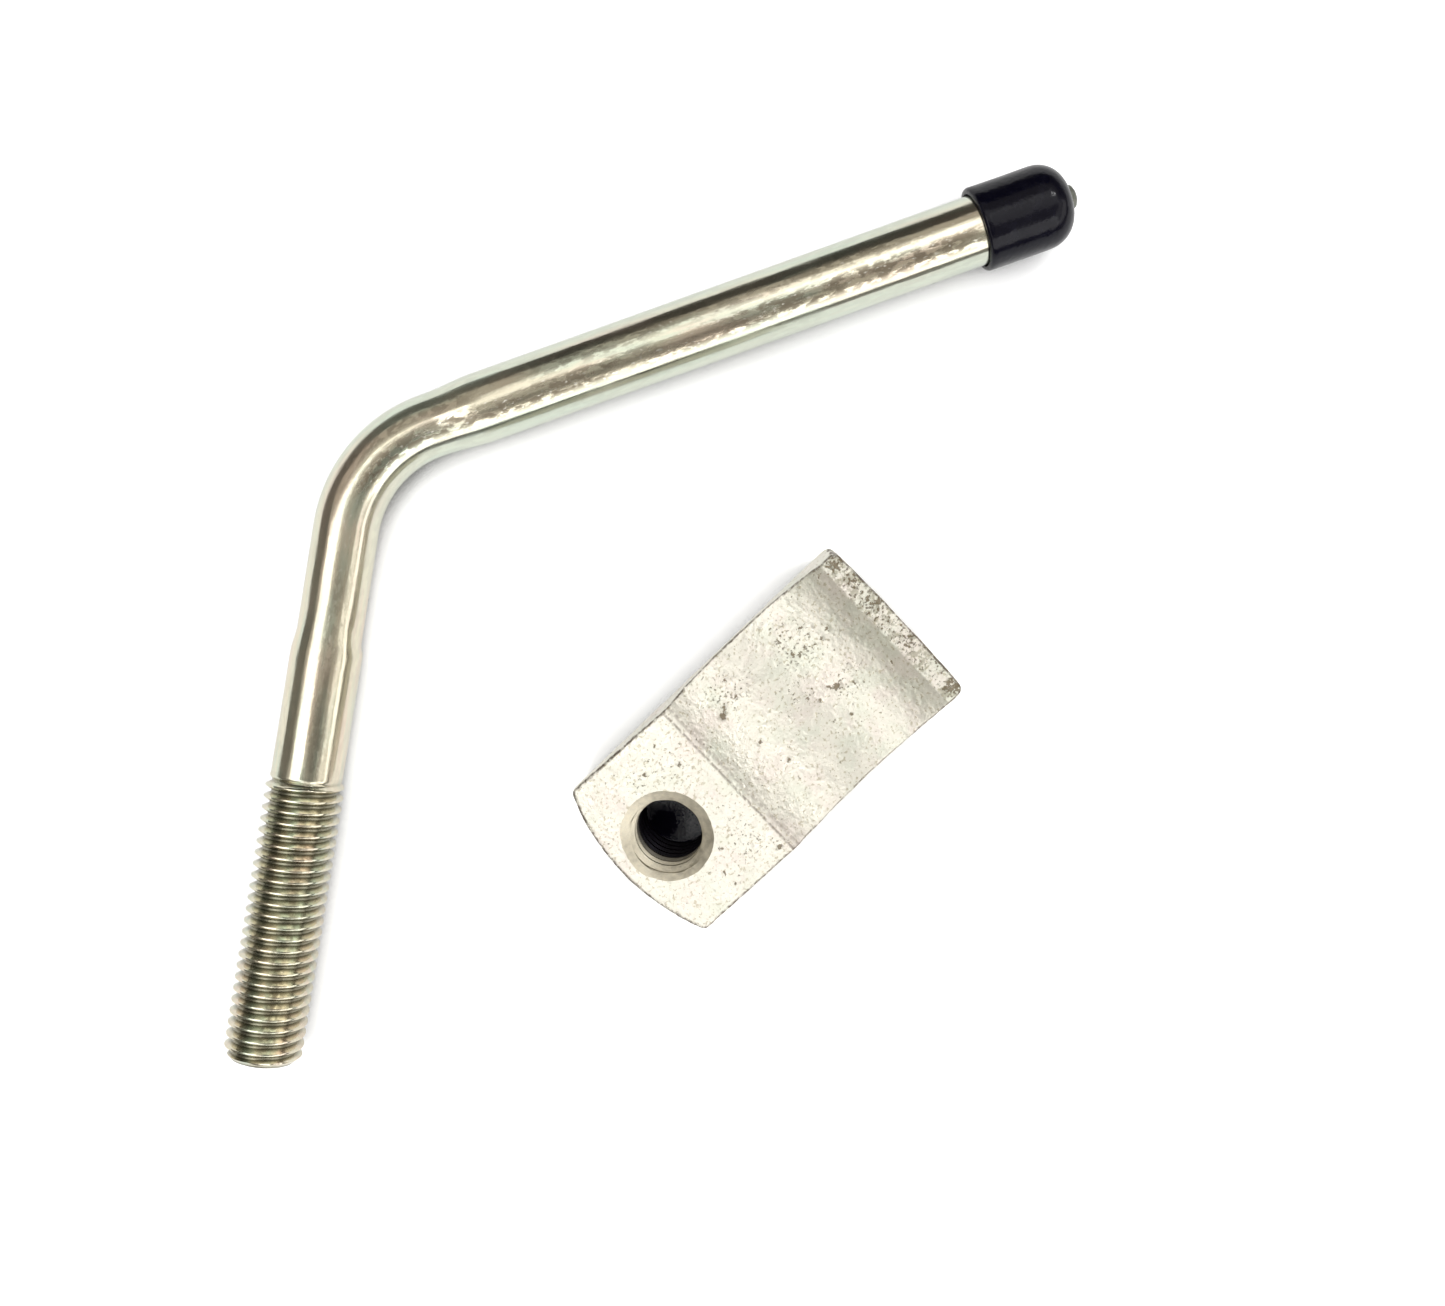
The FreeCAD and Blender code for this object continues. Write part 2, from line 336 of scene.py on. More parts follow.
# Zinc plated casting of the pad
castZincLook = {
    "base": (0.95, 0.92, 0.82), "pink": (0.92, 0.84, 0.77), "green": (0.84, 0.86, 0.74),
    "stretch": (1, 1, 1), "tintScale": 0.2, "tintStrength": 0.7,
    "crustAndShade": (0.36, 0.34, 0.24), "paintedShadeShare": 0.6, "crustShare": 0.65,
    "fleck": (0.44, 0.38, 0.23), "fleckShare": 0.55, "edge": (0.13, 0.095, 0.07), "edgeShare": 0.92,
    "pit": (0.20, 0.15, 0.08), "pitShare": 0.8,
    "pitNoise": {"Scale": 2.1, "Detail": 6.0, "Roughness": 0.6}, "pitFrom": 0.64, "pitFull": 0.715,
    "pitInZones": 0.22, "pitOnLip": 0.085,
    "rough": 0.32, "hazeRough": 0.12, "pitRough": 0.25, "edgeRough": 0.2, "metal": 0.6,
    "ragged": ((1, 1, 1), 1.6, 6, 0.28, 0.56), "flecks": ((1, 1, 1), 1.9, 8, 0.56, 0.66),
    "crust": ((1, 1, 1), 1.2, 6, 0.44, 0.60), "haze": ((1, 1, 1), 0.35, 5, 0.3, 0.7),
    "grain": ((1, 1, 1), 1.7, 7, 0.2, 0.8), "lumps": ((1, 1, 1), 0.7, 4, 0.2, 0.8),
    "grainHeight": 0.55, "lumpHeight": 0.5, "pitHeight": -0.9, "lipHeight": 0.5, "lipGrainHeight": 0.8,
    "bumpDistance": 0.00016, "bumpStrength": 0.6,
}


def castZincMaterial(look):
    material, tree, shader = newMaterial("castZinc")
    place = objectPlace(tree)
    zones, edges, lip, paintedShade = marksAndLightMasks(tree)
    # pits: a fine ragged noise, cut lower where the casting is marked as pitted
    fine = addNode(tree, "ShaderNodeTexNoise", {}, look["pitNoise"])
    join(tree, place, fine.inputs["Vector"])
    level = weighted(tree, [(fine.outputs["Fac"], 1.0), (zones, look["pitInZones"]), (lip, look["pitOnLip"])])
    cut = addNode(tree, "ShaderNodeMapRange", {"interpolation_type": "SMOOTHSTEP"},
                  {"From Min": look["pitFrom"], "From Max": look["pitFull"]})
    join(tree, level, cut.inputs["Value"])
    pitted = cut.outputs["Result"]
    # dark brown lines along the rounded top edges and beside the crest
    darkLines = multiplied(tree, edges, cloud(tree, place, *look["ragged"]))
    crust = multiplied(tree, lip, cloud(tree, place, *look["crust"]))
    # painted shade on the saddle before the lip; the lip's crust takes the same dark tone
    colour = toned(tree, tinted(tree, place, look), paintedShade, look["crustAndShade"], look["paintedShadeShare"])
    colour = toned(tree, colour, cloud(tree, place, *look["flecks"]), look["fleck"], look["fleckShare"])
    colour = toned(tree, colour, crust, look["crustAndShade"], look["crustShare"])
    colour = toned(tree, colour, darkLines, look["edge"], look["edgeShare"])
    colour = toned(tree, colour, pitted, look["pit"], look["pitShare"])
    join(tree, colour, shader.inputs["Base Color"])
    roughened(tree, shader, [(cloud(tree, place, *look["haze"]), look["hazeRough"]),
                             (pitted, look["pitRough"]), (darkLines, look["edgeRough"])], look["rough"])
    shader.inputs["Metallic"].default_value = look["metal"]
    grain = cloud(tree, place, *look["grain"])
    lumps = cloud(tree, place, *look["lumps"])
    height = weighted(tree, [(grain, look["grainHeight"]), (lumps, look["lumpHeight"]),
                             (pitted, look["pitHeight"]), (lip, look["lipHeight"]),
                             (multiplied(tree, lip, grain), look["lipGrainHeight"])])
    bumped(tree, shader, height, look["bumpDistance"], look["bumpStrength"])
    return material


# Cut metal in the pad's hole: turned countersink and thread, with painted shade that makes it darker the deeper
# it goes
cutZincLook = {
    "base": (0.56, 0.52, 0.42), "brighter": 1.35, "deepShade": (0.006, 0.005, 0.008),
    "rough": 0.34, "toolRough": 0.2, "metal": 0.85,
    "tool": ((1, 1, 1), 1.1, 5, 0.25, 0.75), "marks": ((1, 1, 1), 3.0, 4, 0.2, 0.8),
    "bumpDistance": 0.00004, "bumpStrength": 0.5,
}


def cutZincMaterial(look):
    material, tree, shader = newMaterial("cutZinc")
    place = objectPlace(tree)
    depth = attribute(tree, "marksAndPaintedLight").outputs["Alpha"]
    tool = cloud(tree, place, *look["tool"])
    colour = addNode(tree, "ShaderNodeMix", {"data_type": "RGBA"}, {"A": (*look["base"], 1)})
    colour.inputs["B"].default_value = tuple(c * look["brighter"] for c in look["base"]) + (1,)
    join(tree, tool, colour.inputs["Factor"])
    # painted shade, darker deeper in the hole
    deepShaded = toned(tree, colour.outputs["Result"], depth, look["deepShade"])
    join(tree, deepShaded, shader.inputs["Base Color"])
    roughened(tree, shader, [(tool, look["toolRough"])], look["rough"])
    shader.inputs["Metallic"].default_value = look["metal"]
    bumped(tree, shader, cloud(tree, place, *look["marks"]), look["bumpDistance"], look["bumpStrength"])
    return material


zincSteel = zincSteelMaterial(zincSteelLook)
blackVinyl = blackVinylMaterial(blackVinylLook)
castZinc = castZincMaterial(castZincLook)
cutZinc = cutZincMaterial(cutZincLook)
print("materials made")


# Handle: one bent rod, from the screw thread's tip to the nub in the end cap
handleSize = {
    "rod": 5.35, "neck": 4.9, "crest": 5.9, "root": 4.86, "pitch": 1.75,
    "leg": 94.0, "bendAngle": 60.7, "bendRadius": 20.0, "armEnd": 113.3,
    "threadEnd": 42.7, "runOut": 1.7, "tipChamfer": 1.1, "tipDish": 0.25,
    "shoulder": 63.6, "sharpShoulder": 1.0, "softShoulder": 3.4, "flatShoulder": 15.0,
    "swell": 8.0, "endChamfer": 0.6, "nub": 2.0, "nubLength": 2.7,
    "stepsPerTurn": 64, "spareTurns": 4, "station": 1.6, "fineStation": 0.5, "merge": 0.004,
    "wavesPerLength": (0.06, 0.12, 0.12), "waveDepth": 0.006,
}
# where the handle is marked, and where shade and sheen are painted on it: places along the rod, and directions
# across it with their spread
handleMarksAndLight = {
    "dullEnd": 0.2, "grooveFrom": 0.15, "grooveFull": 0.95,
    "sheenAlong": (60, 110), "sheenAcross": (0.45, 0.9), "armAlong": (78, 92), "legShare": 0.5,
    "handledSide": (-0.32, 0.947), "handledSpread": (0.945, 0.985),
    "rubbedSide": (0.29, 0.957), "rubbedSpread": (0.965, 0.995), "rubbedShare": 0.5,
}
# the thread's tip on the table, and the directions of the leg and the arm from it
handleLay = {"tip": (-96.472, 17.583, 6.588), "leg": (0.7997004, 0.6001847, -0.0160493),
             "arm": (0.9149463, -0.4033452, 0.0136351)}
# one pitch of the thread from root to root: share of the pitch, share of the depth
threadProfile = ((0.0, 0.0), (0.09, 0.03), (0.15, 0.16), (0.29, 0.62), (0.42, 0.965),
                 (0.5, 1.0), (0.58, 0.965), (0.71, 0.62), (0.85, 0.16), (0.91, 0.03), (1.0, 0.0))


def laid(lay):
    along = Vector(lay["leg"]).normalized()
    up = Vector(lay["arm"]).cross(along).normalized()
    across = up.cross(along)
    turn = Matrix((along, across, up)).transposed().to_4x4()
    return Matrix.Translation(Vector(lay["tip"])) @ turn


def spunThread(bm, size):
    pitch = size["pitch"]
    depth = size["crest"] - size["root"]
    chain = [bm.verts.new((pitch * (along - 1.5), size["root"] + depth * rise, 0))
             for along, rise in threadProfile]
    edges = [bm.edges.new(pair) for pair in zip(chain, chain[1:])]
    turns = math.ceil(size["threadEnd"] / pitch) + size["spareTurns"]
    steps = turns * size["stepsPerTurn"]
    bmesh.ops.spin(bm, geom=chain + edges, cent=(0, 0, 0), axis=(1, 0, 0), angle=2 * math.pi * turns,
                   dvec=(pitch / size["stepsPerTurn"], 0, 0), steps=steps, use_merge=False)
    bmesh.ops.remove_doubles(bm, verts=bm.verts, dist=size["merge"])


def cutAcross(bm, place, normal, side):
    bmesh.ops.bisect_plane(bm, geom=bm.verts[:] + bm.edges[:] + bm.faces[:], dist=1e-5,
                           plane_co=place, plane_no=normal, **{side: True})


def cutThread(bm, size):
    end = size["threadEnd"] + size["runOut"]
    for vert in bm.verts:
        radius = math.hypot(vert.co.y, vert.co.z)
        wanted = min(radius, size["crest"] - size["tipChamfer"] + max(vert.co.x, 0.0))
        wanted = blendOf(wanted, size["rod"], smoothStep(size["threadEnd"] - 0.4, end - 0.2, vert.co.x))
        vert.co.yz = vert.co.yz * (wanted / radius)
    cutAcross(bm, (0.0, 0, 0), (1, 0, 0), "clear_inner")
    cutAcross(bm, (end, 0, 0), (1, 0, 0), "clear_outer")
    return end


def openEdges(bm, place):
    return [e for e in bm.edges if e.is_boundary and all(abs(v.co.x - place) < 1e-3 for v in e.verts)]


def extruded(bm, ring):
    # the next ring of edges and its vertices, joined to the last by faces
    made = bmesh.ops.extrude_edge_only(bm, edges=ring)["geom"]
    return ([g for g in made if isinstance(g, bmesh.types.BMEdge)],
            [g for g in made if isinstance(g, bmesh.types.BMVert)])


def closeTip(bm, size):
    face = bmesh.ops.edgeloop_fill(bm, edges=openEdges(bm, 0.0))["faces"]
    for width, depth in ((0.5, 0.0), (0.7, size["tipDish"]), (1.6, 0.05)):
        bmesh.ops.inset_region(bm, faces=face, thickness=width, depth=0)
        bmesh.ops.translate(bm, verts=face[0].verts[:], vec=(depth, 0, 0))


def rodStations(size):
    tangent = size["bendRadius"] * math.tan(math.radians(size["bendAngle"]) / 2)
    bendStart = size["leg"] - tangent
    bendEnd = bendStart + size["bendRadius"] * math.radians(size["bendAngle"])
    armEnd = bendEnd + size["armEnd"] - tangent
    return bendStart, bendEnd, armEnd


def shankRadius(size, s, angle, bendEnd):
    # the shoulder is crisp on the bend's inner side, longer on its outer side and hardly seen on top
    outer = 0.5 + 0.5 * math.cos(angle)
    length = blendOf(size["sharpShoulder"], size["softShoulder"], outer)
    length = blendOf(size["flatShoulder"], length, math.cos(angle) ** 2)
    start = size["shoulder"] - 0.35 * (length - size["sharpShoulder"])
    thin = smoothStep(start, start + length, s)
    thick = smoothStep(bendEnd + 1.0, bendEnd + size["swell"], s)
    return blendOf(blendOf(size["rod"], size["neck"], thin), size["rod"], thick)


def extendRod(bm, size, start):
    bendStart, bendEnd, armEnd = rodStations(size)
    lastRound = armEnd - size["endChamfer"]
    places = []
    s = start
    while s < lastRound - 0.3:
        near = abs(s - size["shoulder"]) < 4 or bendStart - 1 < s < bendEnd + 1
        s += size["fineStation"] if near else size["station"]
        places.append(min(s, lastRound))
    ring = openEdges(bm, start)
    for place in places:
        ring, verts = extruded(bm, ring)
        for vert in verts:
            angle = math.atan2(vert.co.z, vert.co.y)
            radius = shankRadius(size, place, angle, bendEnd)
            vert.co = (place, radius * math.cos(angle), radius * math.sin(angle))
    nub = size["nub"]
    tip = armEnd + size["nubLength"]
    # the arm's end face, and the nub with a fillet at its foot and a rounded tip
    nubOutline = ((armEnd, size["rod"] - size["endChamfer"]), (armEnd, nub + 0.25), (armEnd + 0.25, nub),
                  (tip - 0.75, nub - 0.05), (tip - 0.3, nub - 0.28), (tip, nub - 0.85))
    for place, radius in nubOutline:
        ring, verts = extruded(bm, ring)
        for vert in verts:
            scale = radius / math.hypot(vert.co.y, vert.co.z)
            vert.co = (place, vert.co.y * scale, vert.co.z * scale)
    bmesh.ops.edgeloop_fill(bm, edges=ring)


def bendRod(bm, size):
    bendStart, bendEnd, armEnd = rodStations(size)
    radius = size["bendRadius"]
    turn = math.radians(size["bendAngle"])
    for vert in bm.verts:
        s, side, up = vert.co
        phi = min(max((s - bendStart) / radius, 0.0), turn)
        beyond = max(s - bendEnd, 0.0)
        before = min(s, bendStart)
        x = before + (radius + side) * math.sin(phi) + beyond * math.cos(phi)
        y = -radius + (radius + side) * math.cos(phi) - beyond * math.sin(phi)
        vert.co = (x, y, up)


def rodMarksAndLight(size, marksAndPaintedLight, place, end, capped):
    radius = math.hypot(place.y, place.z)
    depth = size["rod"] - size["root"]
    grooveShade = 0.0
    # painted shade: the thread's roots are darkened
    if place.x < end:
        sunk = (size["rod"] + 0.2 - radius) / (depth + 0.2)
        grooveShade = smoothStep(marksAndPaintedLight["grooveFrom"], marksAndPaintedLight["grooveFull"], sunk)
    dull = smoothStep(capped - marksAndPaintedLight["dullEnd"], capped + marksAndPaintedLight["dullEnd"], place.x)
    across = max(radius, 0.1)
    # painted sheen: the rod's sides are tinted green from the shoulder on
    sideSheen = smoothStep(*marksAndPaintedLight["sheenAlong"], place.x) * smoothStep(*marksAndPaintedLight["sheenAcross"], abs(place.y) / across)
    handled, rubbed = ((side[0] * place.y + side[1] * place.z) / across
                       for side in (marksAndPaintedLight["handledSide"], marksAndPaintedLight["rubbedSide"]))
    onArm = smoothStep(*marksAndPaintedLight["armAlong"], place.x)
    stained = blendOf(marksAndPaintedLight["legShare"], 1.0, onArm) * smoothStep(*marksAndPaintedLight["handledSpread"], handled)
    stained += marksAndPaintedLight["rubbedShare"] * onArm * smoothStep(*marksAndPaintedLight["rubbedSpread"], rubbed)
    return grooveShade, dull, sideSheen, min(stained, 1.0)


def makeHandle(size):
    bm = bmesh.new()
    spunThread(bm, size)
    end = cutThread(bm, size)
    closeTip(bm, size)
    extendRod(bm, size, end)
    alongRod = bm.verts.layers.float_vector.new("alongRod")
    marksAndPaintedLight = bm.verts.layers.float_color.new("marksAndPaintedLight")
    capped = rodStations(size)[2]
    for vert in bm.verts:
        vert[alongRod] = vert.co
        vert[marksAndPaintedLight] = rodMarksAndLight(size, handleMarksAndLight, vert.co, end, capped)
        # the drawn rod is never quite true: slight flats and waves along it
        if vert.co.x > end:
            wave = noise.noise(Vector([c * per for c, per in zip(vert.co, size["wavesPerLength"])]))
            vert.co.yz = vert.co.yz * (1 + size["waveDepth"] * wave)
    bendRod(bm, size)
    bmesh.ops.transform(bm, matrix=Matrix.Scale(metre, 4) @ laid(handleLay), verts=bm.verts)
    bmesh.ops.recalc_face_normals(bm, faces=bm.faces)
    finishPiece("handleRod", bm, zincSteel, "handle", "handle_rod")


makeHandle(handleSize)


# End cap: a dipped vinyl cap, open at the mouth, with a hole for the nub
capSize = {
    "mouth": 100.0, "seat": 113.4, "end": 114.75, "bore": 5.4, "outer": 6.45, "dome": 4.4,
    "lip": 0.42, "hole": 2.1, "around": 96, "domeSteps": 8, "sideSteps": 8, "hollow": 0.03,
    "merge": 0.002, "wavesPerLength": (0.16, 0.22, 0.22), "waveDepth": 0.008,
}


def capSection(size):
    outer, dome, end = size["outer"], size["dome"], size["end"]
    points = [(size["seat"], size["hole"] + 0.15), (size["seat"], size["bore"] - 0.5),
              (size["seat"] - 0.5, size["bore"]), (size["mouth"] + 0.3, size["bore"]),
              (size["mouth"], size["bore"] + 0.22), (size["mouth"] + 0.02, outer - size["lip"]),
              (size["mouth"] + 0.14, outer - 0.14), (size["mouth"] + size["lip"], outer)]
    for step in range(1, size["sideSteps"]):
        share = step / size["sideSteps"]
        x = blendOf(size["mouth"], end - dome, share)
        points.append((x, outer - size["hollow"] * math.sin(math.pi * share)))
    for step in range(size["domeSteps"] + 1):
        a = math.radians(90 * step / size["domeSteps"])
        points.append((end - dome + dome * math.sin(a), outer - dome + dome * math.cos(a)))
    hole = size["hole"]
    points += [(end - 0.02, hole + 0.5), (end - 0.16, hole + 0.14), (end - 0.45, hole)]
    return points


def makeCap(size):
    bm = bmesh.new()
    ring = [bm.verts.new((x, r, 0)) for x, r in capSection(size)]
    edges = [bm.edges.new(pair) for pair in zip(ring, ring[1:] + ring[:1])]
    bmesh.ops.spin(bm, geom=ring + edges, cent=(0, 0, 0), axis=(1, 0, 0), angle=2 * math.pi,
                   dvec=(0, 0, 0), steps=size["around"], use_merge=True)
    bmesh.ops.remove_doubles(bm, verts=bm.verts, dist=size["merge"])
    for vert in bm.verts:
        # only the outside is uneven, so the bore stays true
        if math.hypot(vert.co.y, vert.co.z) > size["bore"] + 0.3:
            wave = noise.noise(Vector([c * per for c, per in zip(vert.co, size["wavesPerLength"])]))
            vert.co.yz = vert.co.yz * (1 + size["waveDepth"] * wave)
    corner = laid(handleLay) @ Vector((handleSize["leg"], 0, 0))
    along = Vector(handleLay["arm"]).normalized()
    up = along.cross(Vector(handleLay["leg"])).normalized()
    turn = Matrix((along, up.cross(along), up)).transposed().to_4x4()
    place = Matrix.Scale(metre, 4) @ Matrix.Translation(corner) @ turn
    bmesh.ops.transform(bm, matrix=place, verts=bm.verts)
    bmesh.ops.recalc_face_normals(bm, faces=bm.faces)
    finishPiece("endCap", bm, blackVinyl, "cap", "end_cap", 50)


makeCap(capSize)


# Clamp pad: the casting's surface roughened and pitted, then its hole drilled, countersunk and tapped
padSize = {
    "hole": (-27.4, 0.0, 13.329), "slope": 13.0, "plug": 7.04, "sink": 7.1, "sinkAngle": 120.0,
    "plugDepth": 13.0, "tapRoot": 5.18, "tapCrest": 6.06, "pitch": 1.75, "tapTurns": 12,
    "stepsPerTurn": 64, "tapStart": -18.5, "drillEnd": -16.0, "drillTop": 1.2,
    "voxel": 0.3, "roughness": 0.045, "waviness": 0.07, "endRimTo": -25, "lipRimFrom": 18.5,
}
# dark lines across the pad where the land meets the saddle: place, share and width
crestLines = ((-14.85, 0.8, 0.2), (-13.8, 0.6, 0.3))
# larger pits of the casting's top: place, radius and depth
padPits = (
    (-8.9, 7.3, 0.75, 0.2), (-8.0, 7.8, 0.7, 0.18), (-7.6, 0.5, 0.5, 0.16), (6.5, -1.5, 0.95, 0.28),
    (5.7, -0.6, 0.6, 0.18), (3.3, -1.3, 0.5, 0.14), (5.8, 5.7, 0.7, 0.18), (5.0, 6.6, 0.5, 0.1),
    (11.3, 6.2, 0.6, 0.16), (4.5, 9.6, 0.6, 0.14), (8.5, 8.9, 0.55, 0.14), (6.9, 10.9, 0.5, 0.14),
    (-5.0, 10.8, 0.5, 0.12), (-6.3, -4.5, 0.45, 0.12), (14.7, -3.8, 0.45, 0.12), (8.8, -2.6, 0.55, 0.14),
    (2.6, -5.1, 0.4, 0.1), (5.2, -6.0, 0.4, 0.1), (9.7, 5.4, 0.5, 0.12), (-5.3, 7.9, 0.45, 0.1),
    (-23.4, 9.0, 0.5, 0.1), (-24.8, 8.0, 0.4, 0.08), (-18.5, 6.8, 0.45, 0.1), (-24.9, -9.8, 0.4, 0.1),
    (-22.7, -6.8, 0.4, 0.08), (-24.9, -12.3, 0.4, 0.1), (-16.2, -12.4, 0.6, 0.12), (-19.2, 11.4, 0.35, 0.08),
)
# ragged regions with many small pits: place, reach and strength
pitFields = (
    (6.0, 7.5, 6.0, 0.55), (-6.0, 9.5, 5.0, 0.5), (8.5, -2.0, 4.0, 0.5), (1.5, 1.5, 5.0, 0.3),
    (-24.0, 9.0, 4.0, 0.35), (-19.0, -9.0, 5.0, 0.35), (-20.0, 7.0, 5.0, 0.25), (18.3, 12.5, 1.6, 0.95),
    (18.5, -12.4, 1.8, 1.0), (18.6, -3.0, 2.2, 0.55), (18.7, 4.5, 2.4, 0.6), (18.5, 9.0, 1.6, 0.6),
    (15.6, 13.2, 1.6, 0.6), (-15.4, -12.2, 1.6, 0.6),
)


def holeFrame(size):
    return Matrix.Translation(Vector(size["hole"])) @ Matrix.Rotation(math.radians(-size["slope"]), 4, "Y")


def castingCopy(size):
    bm = bmesh.new()
    bm.from_mesh(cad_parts["clamp_pad"].data)
    bmesh.ops.transform(bm, matrix=Matrix.Scale(1 / metre, 4), verts=bm.verts)
    bmesh.ops.remove_doubles(bm, verts=bm.verts, dist=0.002)
    plug = bmesh.new()
    made = bmesh.ops.create_cone(plug, cap_ends=True, segments=96, radius1=size["plug"],
                                 radius2=size["plug"], depth=size["plugDepth"])
    bmesh.ops.translate(plug, verts=made["verts"], vec=(0, 0, -size["plugDepth"] / 2))
    bmesh.ops.transform(plug, matrix=holeFrame(size), verts=plug.verts)
    for vert in plug.verts:
        vert.co.z = max(vert.co.z, 0.05)
    spare = bpy.data.meshes.new("plug")
    plug.to_mesh(spare)
    plug.free()
    bm.from_mesh(spare)
    bpy.data.meshes.remove(spare)
    return bm


def applied(bm, name, kind, **settings):
    mesh = bpy.data.meshes.new(name)
    bm.to_mesh(mesh)
    bm.free()
    holder = bpy.data.objects.new(name, mesh)
    bpy.context.scene.collection.objects.link(holder)
    step = holder.modifiers.new(name, kind)
    for key, value in settings.items():
        setattr(step, key, value)
    bpy.context.view_layer.update()
    final = holder.evaluated_get(bpy.context.evaluated_depsgraph_get())
    result = bmesh.new()
    result.from_mesh(bpy.data.meshes.new_from_object(final))
    bpy.data.objects.remove(holder)
    return result


def pitsAt(p):
    # how deep the larger pits cut at a place on the top, and how pitted the place is
    sunk, zone = 0.0, 0.0
    for x, y, radius, depth in padPits:
        away = math.hypot(p.x - x, p.y - y)
        if away < 2 * radius:
            share = 1 - smoothStep(radius * 0.2, radius * 1.25, away)
            sunk += depth * share
            zone = max(zone, 1.15 * share)
    for x, y, reach, strength in pitFields:
        away = math.hypot(p.x - x, p.y - y)
        zone = max(zone, 0.62 * strength * (1 - smoothStep(0.3 * reach, reach, away)))
    return sunk, zone


def rimOf(slant, low, high):
    # the rounded edge between a side and the top: neither upright nor level
    return smoothStep(low, high, slant) * smoothStep(0.97, 0.85, slant)


def edgeLines(size, p, n):
    rim = max(rimOf(abs(n.y), 0.2, 0.4),
              rimOf(-n.x, 0.35, 0.5) * (p.x < size["endRimTo"]),
              rimOf(n.x, 0.25, 0.45) * (p.x > size["lipRimFrom"]))
    crest = sum(share * math.exp(-((p.x - place) / width) ** 2) for place, share, width in crestLines)
    return min(max(rim * (n.z > 0.12), crest * (n.z > 0.6)), 1.0)


def roughenCasting(bm, size):
    bmesh.ops.smooth_vert(bm, verts=bm.verts, factor=0.5, use_axis_x=True, use_axis_y=True, use_axis_z=True)
    bm.normal_update()
    marksAndPaintedLight = bm.verts.layers.float_color.new("marksAndPaintedLight")
    moves = []
    for vert in bm.verts:
        p, n = vert.co, vert.normal
        wave = noise.noise(p * 0.28)
        grain = noise.fractal(p * 0.9, 0.8, 2.0, 3)
        move = size["waviness"] * wave + size["roughness"] * grain
        if p.z < 0.6:
            move = min(move, 0) * 0.3      # the base stays flat
        sunk, zone = pitsAt(p) if n.z > 0.5 else (0.0, 0.0)
        lip = smoothStep(16.2, 16.8, p.x) * (n.z > 0.4)
        # painted shade: the saddle darkens on its slope towards the lip
        crustAndShade = 0.5 * smoothStep(9.5, 16.0, p.x) * (p.x < 16.5) * (n.z > 0.4)
        moves.append((vert, n * (move - sunk + 0.05 * lip * noise.noise(p * 1.1))))
        vert[marksAndPaintedLight] = (zone, edgeLines(size, p, n), lip, crustAndShade)
    for vert, move in moves:
        vert.co += move
    return bm


def makeDrill(size):
    # one tool that cuts the whole hole: a helical tap below, the countersink's cone above
    bm = bmesh.new()
    pitch = size["pitch"]
    low, high = size["tapRoot"], size["tapCrest"]
    chain = [bm.verts.new((low + (high - low) * rise, 0, pitch * along + size["tapStart"]))
             for along, rise in threadProfile]
    edges = [bm.edges.new(pair) for pair in zip(chain, chain[1:])]
    turns, steps = size["tapTurns"], size["stepsPerTurn"]
    bmesh.ops.spin(bm, geom=chain + edges, cent=(0, 0, 0), axis=(0, 0, 1), angle=2 * math.pi * turns,
                   dvec=(0, 0, pitch / steps), steps=steps * turns, use_merge=False)
    bmesh.ops.remove_doubles(bm, verts=bm.verts, dist=handleSize["merge"])
    sinkSlope = math.tan(math.radians(size["sinkAngle"] / 2))
    top = -(size["sink"] - size["tapCrest"] - 0.15) / sinkSlope
    cutAcross(bm, (0, 0, size["drillEnd"]), (0, 0, 1), "clear_inner")
    cutAcross(bm, (0, 0, top), (0, 0, 1), "clear_outer")
    for vert in bm.verts:
        radius = math.hypot(vert.co.x, vert.co.y)
        wanted = max(radius, size["sink"] + vert.co.z * sinkSlope)
        vert.co.xy = vert.co.xy * (wanted / radius)
    rims = [e for e in bm.edges if e.is_boundary]
    floor = [e for e in rims if all(v.co.z < size["drillEnd"] + 1 for v in e.verts)]
    ring, verts = extruded(bm, [e for e in rims if all(abs(v.co.z - top) < 1e-3 for v in e.verts)])
    for vert in verts:
        scale = (size["sink"] + size["drillTop"] * sinkSlope) / math.hypot(vert.co.x, vert.co.y)
        vert.co = (vert.co.x * scale, vert.co.y * scale, size["drillTop"])
    bmesh.ops.edgeloop_fill(bm, edges=[e for e in ring if e.is_boundary])
    bmesh.ops.edgeloop_fill(bm, edges=floor)
    bmesh.ops.transform(bm, matrix=holeFrame(size), verts=bm.verts)
    bmesh.ops.recalc_face_normals(bm, faces=bm.faces)
    mesh = bpy.data.meshes.new("drill")
    bm.to_mesh(mesh)
    bm.free()
    drill = bpy.data.objects.new("drill", mesh)
    bpy.context.scene.collection.objects.link(drill)
    return drill


def markCutFaces(bm, size):
    # faces left by the tap and the countersink get the second material, with painted shade deep down
    marksAndPaintedLight = bm.verts.layers.float_color["marksAndPaintedLight"]
    back = holeFrame(size).inverted()
    for face in bm.faces:
        place = back @ face.calc_center_median()
        inward = (back.to_3x3() @ face.normal).xy.dot(place.xy) < -0.3 * place.xy.length
        if inward and place.xy.length < size["sink"] + 0.01 and place.z < 0.2:
            face.material_index = 1
    for vert in bm.verts:
        place = back @ vert.co
        reach = size["sink"] + 0.15 if place.z > -1.5 else size["tapCrest"] + 0.1
        if math.hypot(place.x, place.y) < reach:
            vert[marksAndPaintedLight] = (0.0, 0.0, 0.0, smoothStep(-2.6, -6.0, place.z))


def sharpenSeam(mesh):
    # the edge between the casting's skin and the cut metal is crisp
    bm = bmesh.new()
    bm.from_mesh(mesh)
    for edge in bm.edges:
        if len({face.material_index for face in edge.link_faces}) > 1:
            edge.smooth = False
    bm.to_mesh(mesh)
    bm.free()


